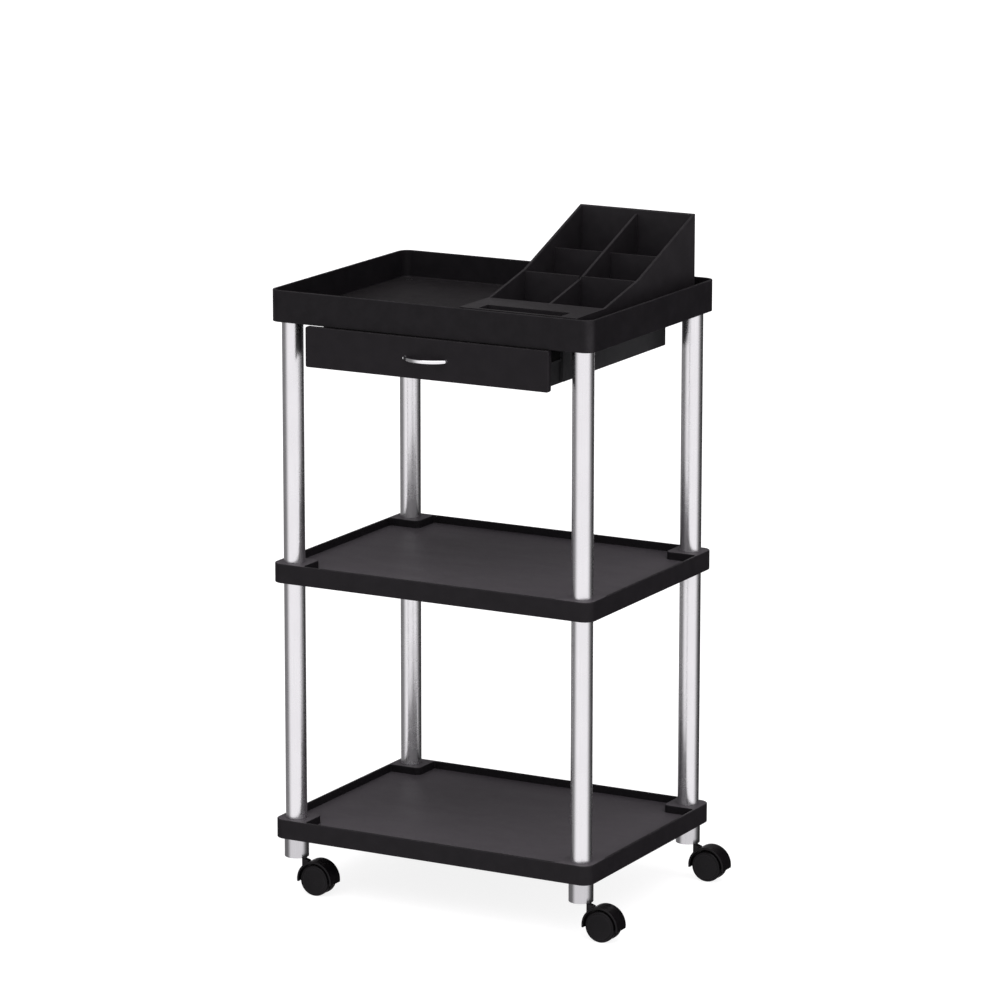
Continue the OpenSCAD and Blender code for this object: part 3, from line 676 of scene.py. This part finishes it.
# %% Wheels
AXLE_HOLE, HOLE_END = 2.6, 3.0
FACE_MARGIN, DOME = 4.2, 0.9
for corner in CORNERS:
    for side, name in ((-1, "wheel_front_"), (1, "wheel_rear_")):
        low, high = node_box(name + corner)
        centre = (low + high) / 2
        r, w = (high[2] - low[2]) / 2, high[1] - low[1]
        face = r - FACE_MARGIN
        dome_r = np.linspace(face, 0, 9)
        dome = np.column_stack([dome_r, w - DOME * (dome_r / face) ** 2])
        tread = softened([(AXLE_HOLE, w - HOLE_END), (AXLE_HOLE, 0), (r - 1.4, 0), (r, 1.6),
                          (r, w - 3.4), (r - 1.2, w - 0.9), (face + 0.5, w - 0.5),
                          (face + 0.2, w - 1.3)], [0, 0.3, 0.8, 0.9, 1.2, 0.8, 0.3, 0])
        section = np.vstack([[(0, w - HOLE_END)], tread, dome])
        section[:, 1] = side * (section[:, 1] - w / 2)
        shape = turned(section, centre, "y", 96)
        make_piece(name + corner + "_disc", shape, name + corner,
                   caster_plastic, [name + corner])

# %% [markdown]
# The hood is a thin band bent over both wheels, held by a flat web between them, and a neck rises
# from its left shoulder to the stem. The band is one rounded section carried along half a circle.
# The web is drawn in polar form: its reach from the axle is long above and short round the boss
# below. The neck is two half circles with flats between them, and its foot follows the band.

# %% Hoods


def hood_band(centre, inside, outside, width, skirt):
    """A rounded rectangle in radius r and y, bent over the axle: the angle of each point runs
    from -asin(skirt / r) to 180 degrees + asin(skirt / r), so both ends are cut level."""
    half = width / 2
    section = softened(box_corners(inside, outside, -half, half), [0.5, 0.75, 0.75, 0.5],
                       closed=True)
    r, y = section.T
    below = np.arcsin(skirt / r)
    angle = -below + np.linspace(0, 1, 65)[:, None] * (np.pi + 2 * below)
    return skin(np.stack([r * np.cos(angle), y + 0 * angle, r * np.sin(angle)], -1) + centre)


def hood_web(centre, reach_up, skirt, width, boss=6.5, edge=0.3):
    """reach(angle) = reach_up, but skirt / |sin(angle)| where that is less below the axle, and
    never under boss, the round lug on the axle. Both faces are cut in by edge at their rim."""
    angle = np.linspace(0, 2 * np.pi, 256, endpoint=False)
    level_cut = skirt / np.maximum(-np.sin(angle), 0.01)
    reach = np.maximum(np.minimum(reach_up, level_cut), boss)
    half = width / 2
    rings = []
    for y, inset in ((-half, edge), (-half + edge, 0), (half - edge, 0), (half, edge)):
        r, y = reach - inset, np.full(angle.shape, y)
        rings.append(np.column_stack([r * np.cos(angle), y, r * np.sin(angle)]))
    return skin(np.array(rings) + centre)


def hood_neck(stem, axle, band_r, top, half=4.2, length=5.4, bore=3.05, grip=10.0, fall=0.35,
              least=8.0):
    """A ring of radius r is stem + r (cos a, sin a), moved by length along x where cos a > 0. The
    first two stand on the band: z = axle + sqrt(band_r^2 - dx^2), dx being the distance in x, and
    least at least. The top falls by the share fall of the way along x, and the bore goes down
    into it by grip."""
    angle = (np.arange(64) + 0.5) * 2 * np.pi / 64
    spread = np.where(np.cos(angle) > 0, length, 0.0)
    rings = []
    for r, z, stretch in ((half + 0.5, 0, 1), (half, 1.2, 1), (half, top - 0.7, 1),
                          (half - 0.2, top - 0.2, 1), (half - 0.7, top, 1), (bore, top, 0),
                          (bore, top - grip, 0)):
        x = stem[0] + r * np.cos(angle) + stretch * spread
        y = stem[1] + r * np.sin(angle)
        foot = axle[2] + np.sqrt(np.maximum(band_r ** 2 - (x - axle[0]) ** 2, least ** 2))
        level = foot + z if len(rings) < 2 else z - fall * stretch * spread
        rings.append(np.column_stack([x, y, level]))
    return skin(np.array(rings))


HOOD_T, SKIRT, WEB_T = 2.6, 3.7, 7.0
for corner in CORNERS:
    low, high = node_box("caster_axle_" + corner)
    axle = (low + high) / 2
    low, high = node_box("caster_hood_" + corner)
    hood_r, hood_w, neck_top = high[0] - axle[0], high[1] - low[1], high[2]
    middle_r = hood_r - HOOD_T / 2
    band = hood_band(axle, hood_r - HOOD_T, hood_r, hood_w, SKIRT)
    web = hood_web(axle, middle_r, SKIRT, WEB_T)
    neck = hood_neck(STEM[corner], axle, middle_r, neck_top)
    body = "caster_" + corner
    make_piece("hood_band_" + corner, band, body, caster_plastic,
               ["caster_hood_" + corner])
    make_piece("hood_web_" + corner, web, body, caster_plastic)
    make_piece("hood_neck_" + corner, neck, body, caster_plastic)

# %% [markdown]
# The drawer front is a plain panel with softly rounded edges. Its outline lies in the plane of
# x and z, and the profile runs from its back face round the edge to its front face, which is
# plain but for the handle.

# %% Drawer front


def upright(shape):
    """Turns a shape drawn flat in x and y with its height along z to stand in x and z, with its
    height towards the front: (x, y, z) becomes (x, -z, y)."""
    points, faces = shape
    return np.column_stack([points[:, 0], -points[:, 2], points[:, 1]]), faces


PANEL_R, PANEL_IN = 3.0, 2.9
low, high = node_box("drawer_front")
panel_points, panel_inward = rounded(box_corners(low[0], high[0], low[2], high[2]), PANEL_R, 6)


def panel_ring(inset):
    """The panel's outline moved in, but by no more than the round of its corners allows."""
    return panel_points + min(inset, PANEL_IN) * panel_inward


section = softened([(9, -high[1]), (0, -high[1]), (0, -low[1]), (9, -low[1])], [0, 0.3, 0.9, 0])
shape = upright(skin(stacked(section, panel_ring)))
make_piece("drawer_panel", shape, "drawer", front_plastic, ["drawer_front"])

# %% [markdown]
# The handle is one slim bar, bent to a shallow bow between two round feet. The bar is a rounded
# section carried along an arc, a little thinner towards its ends, and each foot is turned with a
# small flare where it meets the panel.

# %% Bow handle
FOOT_X = 32.0
BOW_R, BOW_HALF_ANGLE = 41.63, 50.2
BAR_T, BAR_H = 4.0, 5.0
low, high = node_box("drawer_handle")
HANDLE_Z = (low[2] + high[2]) / 2
BOW_FRONT, PANEL_FACE = low[1], node_box("drawer_front")[0][1]


def bow_bar(radius, half_angle, thick, tall):
    """For s from -1 to 1 the middle of the bar is (R sin(s A), -R cos(s A)), and its section is a
    softened rectangle of thick by tall, shrunk by a tenth at both ends."""
    t, h = thick / 2, tall / 2
    section = softened(box_corners(-t, t, -h, h), [0.9, 1.2, 1.2, 0.9], 5, closed=True)
    s = np.linspace(-1, 1, 65)[:, None]
    angle = s * np.radians(half_angle)
    size = 1 - 0.1 * s ** 6
    out, up = section.T
    r = radius + out * size
    rings = np.stack([r * np.sin(angle), -r * np.cos(angle), up * size], -1)
    return skin(rings + np.array([0, BOW_FRONT + radius + t, HANDLE_Z]))


bow = bow_bar(BOW_R, BOW_HALF_ANGLE, BAR_T, BAR_H)
make_piece("handle_bow", bow, "drawer", handle_chrome, ["drawer_handle"])
foot = softened([(0, 0), (2.9, 0), (2.8, -0.6), (2.2, -2.0), (2.1, -4.0), (0, -4.0)],
                [0, 0.2, 0.4, 0.8, 0.6, 0])
for side, x in (("left", -FOOT_X), ("right", FOOT_X)):
    shape = turned(foot, (x, PANEL_FACE, HANDLE_Z), "y", 48)
    make_piece("handle_foot_" + side, shape, "drawer", handle_chrome)

# %% [markdown]
# The drawer's box hangs in its runners by a narrow flange along each side. Its outline moves in
# by one amount in x and by another in y, so the same profile draws the flange on the two long
# sides only. Inside, the walls come down to a floor. The rings further in are drawn afresh with a
# tighter corner each, because a round that is moved in by more than its radius turns inside out.

# %% Drawer box
WALL, BOX_LANDING = 3.0, 5.4
low, high = node_box("drawer_box")
left = node_box("drawer_side_left")[0][0] + WALL
right = node_box("drawer_side_right")[1][0] - WALL
z0, z1 = low[2], high[2]
path = softened([(WALL, WALL, z0), (0, 0, z0), (0, 0, z1 - WALL), (-WALL, 0, z1 - WALL),
                 (-WALL, 0, z1), (WALL, WALL, z1), (WALL, WALL, z0 + WALL),
                 (BOX_LANDING, BOX_LANDING, z0 + WALL)], [0, 1.0, 0.2, 0.5, 0.6, 0.7, 1.0, 0])


def drawer_ring(dx, dy, z, radius=2.5, least=0.8):
    """The rectangle of the box, dx and dy further in, with corners of radius - dx, or of least
    where that is less."""
    corners = box_corners(left + dx, right - dx, low[1] + dy, high[1] - dy)
    outline = rounded(corners, max(radius - max(dx, 0), least), 5)[0]
    return np.column_stack([outline, np.full(len(outline), z)])


rings = np.array([drawer_ring(*place) for place in path])
make_piece("drawer_tub", skin(rings), "drawer", drawer_plastic,
           ["drawer_box", "drawer_side_left", "drawer_side_right"])

# %% [markdown]
# A runner is a moulded rail: a plate with a groove for the drawer's flange and a foot along its
# top that is screwed under the tray. Its section is carried from front to back. Behind the stop
# the groove's corners lie on the plate's own face, which closes the groove.

# %% Runners


def runner_rail(side):
    """The section in x and z at each y, with a groove GROOVE deep up to the stop."""
    low, high = node_box("runner_left" if side < 0 else "runner_right")
    back = high[0] if side > 0 else -low[0]
    face, foot = back - RUNNER_T, back - RUNNER_FOOT
    z0, z1 = low[2], high[2]
    stop = high[1] - STOP_T
    rings = []
    for y, depth in ((low[1], GROOVE), (stop, GROOVE), (stop + 0.001, 0.0), (high[1], 0.0)):
        section = [(face, z0), (back, z0), (back, z1), (foot, z1), (foot, z1 - FOOT_T),
                   (face, z1 - FOOT_T), (face, GROOVE_TOP), (face + depth, GROOVE_TOP),
                   (face + depth, GROOVE_END), (face, GROOVE_END)]
        rings.append([(side * x, y, z) for x, z in section])
    return skin(np.array(rings))


RUNNER_T, RUNNER_FOOT, FOOT_T = 5.6, 19.6, 4
GROOVE, GROOVE_TOP, GROOVE_END = 2.7, 812.2, 808.6
STOP_T = 4.0
for side, name in ((-1, "runner_left"), (1, "runner_right")):
    make_piece(name + "_rail", runner_rail(side), "chassis", drawer_plastic,
               [name], bevel=0.5, rubbed=False)

# %% [markdown]
# The organiser is a deep moulding with a low ledge in front, two shallow wells and four deep ones
# behind it, and side walls that climb towards the back. It is drawn as two height maps over one
# grid of places, the top and the underside, sewn together round the outside. Where a wall stands
# upright, the grid has two places a hair apart. The maker merges those at the same height.

# %% Two height maps over one grid
HAIR = 1e-4


def both_sides(places):
    """Each place twice, a hair apart, except the first and the last."""
    places = sorted(set(places))
    doubled = [place + step for place in places[1:-1] for step in (-HAIR, HAIR)]
    return np.array([places[0], *doubled, places[-1]])


def within(values, *spans):
    """True where a value lies inside one of the spans."""
    return np.any([(values > low) & (values < high) for low, high in spans], axis=0)


def height_maps(x, y, top, bottom, origin):
    """points = (x, y, top) and (x, y, bottom) over the grid; the outer edges are sewn."""
    nx, ny = len(x), len(y)
    gx, gy = np.meshgrid(x, y, indexing="ij")
    points = np.concatenate([np.stack([gx, gy, z], -1).reshape(-1, 3) for z in (top, bottom)])
    upper = np.arange(nx * ny).reshape(nx, ny)
    lower = upper + nx * ny
    lids = [np.stack([g[:-1, :-1], g[1:, :-1], g[1:, 1:], g[:-1, 1:]], -1).reshape(-1, 4)
            for g in (upper, lower[:, ::-1])]
    ways = (upper, upper[::-1, ::-1])
    walk = np.concatenate([np.column_stack([g[:-1, 0], g[1:, 0]]) for g in ways]
                          + [np.column_stack([g[-1, :-1], g[-1, 1:]]) for g in ways])
    sides = np.column_stack([walk, walk[:, ::-1] + nx * ny])
    return points + origin, np.concatenate([*lids, sides[:, [1, 0, 3, 2]]]).tolist()


org_low, org_high = node_box("organiser")
wide, deep = (org_high - org_low)[:2]
COLUMNS = [(4, 89), (93, 178)]
ROWS = [(84, 182), (186, 270), (274, deep - 4)]
WELL_FLOOR = 3
CROSS_WALLS = [((182, 186), 60), ((270, 274), 80)]
DIVIDER_X, DIVIDER_Y, DIVIDER_DROP = (89, 93), (84, deep - 4), 5
TROUGH_X, TROUGH_Y, TROUGH_FLOOR = (27, 155), (5, 33), 18
HOLLOW_X, HOLLOW_Y, HOLLOW_TOP = (4, 178), (37, 80), 35.0
SIDE_WALLS = [(0, 38), (84, 38), (186, 62), (deep, 130)]
x = both_sides([0, wide, *TROUGH_X, *np.ravel(COLUMNS)])
y = both_sides([0, deep, *TROUGH_Y, *HOLLOW_Y, *np.ravel(ROWS)])
gx, gy = np.meshgrid(x, y, indexing="ij")
in_column = within(gx, *COLUMNS)
top = np.interp(gy, *np.transpose(SIDE_WALLS))
for span, level in CROSS_WALLS:
    top[in_column & within(gy, span)] = level
top[within(gx, DIVIDER_X) & within(gy, DIVIDER_Y)] -= DIVIDER_DROP
top[in_column & within(gy, *ROWS)] = WELL_FLOOR
top[within(gx, TROUGH_X) & within(gy, TROUGH_Y)] = TROUGH_FLOOR
bottom = np.where(within(gx, HOLLOW_X) & within(gy, HOLLOW_Y), HOLLOW_TOP, 0.0)
shape = height_maps(x, y, top, bottom, org_low)
make_piece("organiser_body", shape, "organiser", organiser_plastic,
           ["organiser"], rubbed=False)

# %% [markdown]
# Screws hold the tray on its legs. Their heads lie flush in the floor of the tray and have a
# six-sided recess. Each ring of the recess is a hexagon written as a radius over the angle, and
# the rings outside it are circles, so one skin covers both.

# %% Tray screws


def screw(centre, head_r, shank_r, depth, length):
    """Rings of (radius, height, hexagon or circle). A hexagon of flats f has the radius
    f / (2 cos(a mod 60 - 30)) at the angle a."""
    angle = np.linspace(0, 2 * np.pi, 48, endpoint=False)
    hexagon = 1 / np.cos(np.mod(angle, np.pi / 3) - np.pi / 6)
    sink = head_r - shank_r
    rings = []
    for r, z, six in ((0.3, -depth, True), (2.0, -depth, True), (2.0, -0.15, True), (2.2, 0, True),
                      (head_r - 0.3, 0, False), (head_r, -0.25, False), (shank_r, -sink, False),
                      (shank_r, 1 - length, False), (shank_r - 0.6, -length, False)):
        reach, z = r * (hexagon if six else 1.0), np.full(angle.shape, z)
        rings.append(np.column_stack([reach * np.cos(angle), reach * np.sin(angle), z]))
    return skin(np.array(rings) + centre)


HEAD_R, SHANK_R, RECESS = 5.0, 2.4, 2.0
low, high = node_box("tray_screws")
for corner in CORNERS:
    shape = screw((*LEG[corner], high[2]), HEAD_R, SHANK_R, RECESS, high[2] - low[2])
    make_piece("tray_screw_" + corner, shape, "chassis", screw_steel,
               ["tray_screws"], sharp=35)

# %% [markdown]
# What is left of the CAD model keeps its own shape and only gets a finish: plugs and couplers
# inside the tubes, stems and axles of the casters, the other screws, and rubber feet.

# %% Finishes for the carried-over nodes
CARRIED = {"top_plug_": plug_plastic, "coupler_": plug_plastic, "sleeve_plug_": plug_plastic,
           "caster_stem_": stem_steel, "caster_axle_": screw_steel, "runner_screws": screw_steel,
           "handle_screws": screw_steel, "organiser_feet": foot_rubber}
carried = 0
for name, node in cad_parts.items():
    for start, finish in CARRIED.items():
        if name.startswith(start):
            for slot in node.material_slots:
                slot.material = finish
            carried += 1
print("carried-over nodes with a finish:", carried)

# %% [markdown]
# The studio is a plain pale floor and one wide soft light from the front, with both sides of the
# room left dim, which is what draws the dark lines down the sides of the tubes. The walls are a
# list of brightness over the angle from the camera, to the right of it above 0. Two weak lamps,
# behind the cart and at its right, light the black parts, and are kept out of all reflections.
# Low down, the wall right behind the cart is brighter, so the tubes shine from behind as well.
# The light is a trace short of green, as in the photograph. The floor and the walls are bright
# enough to turn plain white in the picture.

# %% Floor and light
FLOOR_HALF = 40
floor_mesh = bpy.data.meshes.new("studio_floor")
floor_corners = box_corners(-FLOOR_HALF, FLOOR_HALF, -FLOOR_HALF, FLOOR_HALF)
floor_mesh.from_pydata([(x, y, 0) for x, y in floor_corners], [], [(0, 1, 2, 3)])
floor_object = bpy.data.objects.new("studio_floor", floor_mesh)
scene.collection.objects.link(floor_object)
floor_finish, tree, shader = new_finish("studio_floor", Roughness=0.9, Specular_IOR_Level=0.0,
                                        Emission_Strength=0.85)
shader.inputs["Base Color"].default_value = (0.3, 0.3, 0.3, 1.0)
shader.inputs["Emission Color"].default_value = (1.0, 1.0, 1.0, 1.0)
floor_mesh.materials.append(floor_finish)
floor_object.visible_glossy = False

WALLS = [(-180, 0.18), (-150, 0.2), (-95, 0.21), (-50, 1.0), (52, 1.0), (98, 0.13), (114, 0.04),
         (145, 0.04), (180, 0.18)]
LAMPS = [("wide_sun", 2.0, 70, (18, 10, 0)), ("back_fill", 1.0, 60, (-62, 0, 29)),
         ("side_fill", 0.8, 50, (80, 0, 110))]
TINT = (1.0, 0.974, 1.0)
BACK_GLOW, PLAIN_WHITE = 3.2, 1.2
world = bpy.data.worlds.new("studio")
world.use_nodes = True
scene.world = world
tree = world.node_tree
tree.nodes.clear()
direction = add(tree, "SeparateXYZ", {"Vector": add(tree, "TexCoord").outputs["Generated"]})
around = maths(tree, "ARCTAN2", direction.outputs["Y"], direction.outputs["X"])
offset = maths(tree, "SUBTRACT", around, float(np.arctan2(BACKWARD[1], BACKWARD[0])))
offset = add(tree, "Math", {0: offset}, operation="WRAP")
offset.inputs[1].default_value, offset.inputs[2].default_value = np.pi, -np.pi
turn = maths(tree, "ADD", maths(tree, "MULTIPLY", offset.outputs[0], 1 / (2 * np.pi)), 0.5)
wall = add(tree, "ValToRGB", {"Fac": turn})
wall.color_ramp.interpolation = "EASE"
stops = wall.color_ramp.elements
for degrees, level in WALLS:
    place = degrees / 360 + 0.5
    stop = stops.new(place) if 0 < place < 1 else stops[-int(place)]
    stop.color = (*np.multiply(TINT, level), 1)
aside = maths(tree, "ABSOLUTE", offset.outputs[0], 0)
behind = ramp(tree, aside, np.radians(152), np.radians(175))
below = ramp(tree, direction.outputs["Z"], -0.1, 0.0, 1.0, 0.0)
glow = maths(tree, "MULTIPLY", maths(tree, "MULTIPLY", behind, below), BACK_GLOW)
strength = maths(tree, "ADD", glow, 1.0)
soft = add(tree, "Background", {"Color": wall.outputs["Color"], "Strength": strength})
plain = add(tree, "Background", Strength=PLAIN_WHITE)
seen = add(tree, "LightPath").outputs["Is Camera Ray"]
mix = add(tree, "MixShader", {0: seen, 1: soft.outputs[0], 2: plain.outputs[0]})
add(tree, "OutputWorld", {"Surface": mix.outputs[0]})
plain.inputs["Color"].default_value = (1, 1, 1, 1)

for name, energy, blur, tilt in LAMPS:
    lamp = bpy.data.objects.new(name, bpy.data.lights.new(name, "SUN"))
    lamp.data.energy, lamp.data.angle, lamp.data.color = energy, np.radians(blur), TINT
    lamp.rotation_euler = np.radians(tilt)
    lamp.visible_glossy = name == "wide_sun"
    scene.collection.objects.link(lamp)
scene.view_settings.view_transform = "Standard"
print("studio ready")
